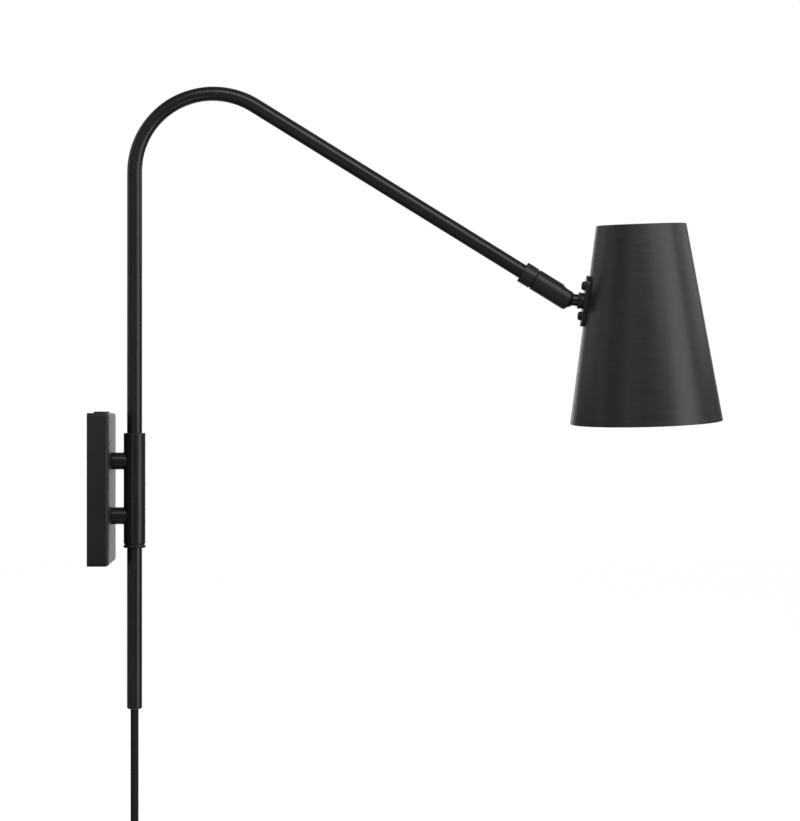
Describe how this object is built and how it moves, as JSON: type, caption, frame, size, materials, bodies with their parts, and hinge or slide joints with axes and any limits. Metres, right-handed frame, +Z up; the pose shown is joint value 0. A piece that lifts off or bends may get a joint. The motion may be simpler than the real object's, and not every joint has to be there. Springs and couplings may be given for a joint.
{
  "type": "swing arm wall sconce",
  "caption": "Plug-in wall light: hooked rod that turns and slides in a wall sleeve, slotted ball swivel, and a tapered metal shade open at the bottom.",
  "frame": {"origin": "middle of the wall plate's back, on the wall's surface", "axes": "+X points away from the wall, +Z up, +Y completes the right-handed set; the arm lies in the XZ plane at rest"},
  "size_m": [0.5575, 0.1349, 0.914],
  "materials": {
    "satin_black": "satin black powder coat",
    "shade_black": "satin black over spun metal with a fine turned grain",
    "zinc_steel": "bright zinc plate",
    "brass": "bare",
    "nylon": "matte",
    "moulded_black": "fine moulded texture",
    "holder_black": "semi-gloss moulding",
    "cord_textile": "braided black textile over round flex"
  },
  "bodies": {
    "mount": {"backplate": "satin_black", "wall_bracket": "zinc_steel", "cover_screws": "satin_black", "upper_standoff": "satin_black", "lower_standoff": "satin_black", "standoff_screws": "zinc_steel", "standoff_washers": "zinc_steel", "sleeve": "satin_black", "upper_bush": "moulded_black", "lower_bush": "moulded_black"},
    "liner": {"liner": "zinc_steel"},
    "clamp": {"clamp_ring": "satin_black"},
    "arm": {"arm_tube": "satin_black", "cord_bushing": "nylon", "arm_collar": "satin_black", "swivel_washer": "moulded_black", "swivel_stud": "zinc_steel", "stop_pin": "zinc_steel", "arm_lead": "cord_textile", "cord_drop": "cord_textile", "cord_hank": "cord_textile", "cord_tail": "cord_textile", "cord_tie": "moulded_black", "switch_front": "moulded_black", "switch_back": "moulded_black", "switch_screws": "zinc_steel", "plug_body": "moulded_black", "plug_blades": "brass"},
    "rocker": {"switch_rocker": "moulded_black"},
    "barrel": {"swivel_barrel": "satin_black", "barrel_plug": "zinc_steel", "disc_springs": "zinc_steel", "ball_seat": "moulded_black"},
    "ball": {"ball_stem": "satin_black", "lock_nut": "satin_black", "stem_washer": "zinc_steel", "stem_nut": "zinc_steel"},
    "head": {"flange_boss": "satin_black", "flange_plate": "satin_black", "flange_saddle": "satin_black", "flange_screws": "satin_black", "flange_nuts": "zinc_steel", "shade": "shade_black", "lamp_bracket": "zinc_steel", "lamp_nipple": "brass", "nipple_nut": "brass", "holder_cap": "holder_black", "holder_body": "holder_black", "screw_shell": "brass", "centre_contact": "brass", "lamp_leads": "cord_textile"}
  },
  "joints": [
    {"name": "swing", "type": "hinge", "parent": "mount", "child": "liner", "pos_m": [0.038, 0, 0], "axis": [0, 0, 1], "range_deg": [-85, 85]},
    {"name": "height", "type": "slide", "parent": "liner", "child": "arm", "axis": [0, 0, 1], "range_m": [-0.22, 0.13]},
    {"name": "clamp_turn", "type": "hinge", "parent": "liner", "child": "clamp", "pos_m": [0.038, 0, -0.0512], "axis": [0, 0, 1], "range_deg": [0, 120]},
    {"name": "rocker", "type": "hinge", "parent": "arm", "child": "rocker", "pos_m": [0.038, -0.0065, -0.324], "axis": [-1, 0, 0], "range_deg": [0, 14]},
    {"name": "swivel", "type": "hinge", "parent": "arm", "child": "barrel", "pos_m": [0.41826, 0, 0.16692], "axis": [0.8517, 0, -0.524], "range_deg": [-155, 155]},
    {"name": "tilt", "type": "hinge", "parent": "barrel", "child": "ball", "pos_m": [0.41826, 0, 0.16692], "axis": [-0.0366, -0.9976, -0.0594], "range_deg": [-24, 65]},
    {"name": "head_turn", "type": "hinge", "parent": "ball", "child": "head", "pos_m": [0.41826, 0, 0.16692], "axis": [0.9918, -0.0289, -0.1245], "range_deg": [-90, 90]}
  ]
}
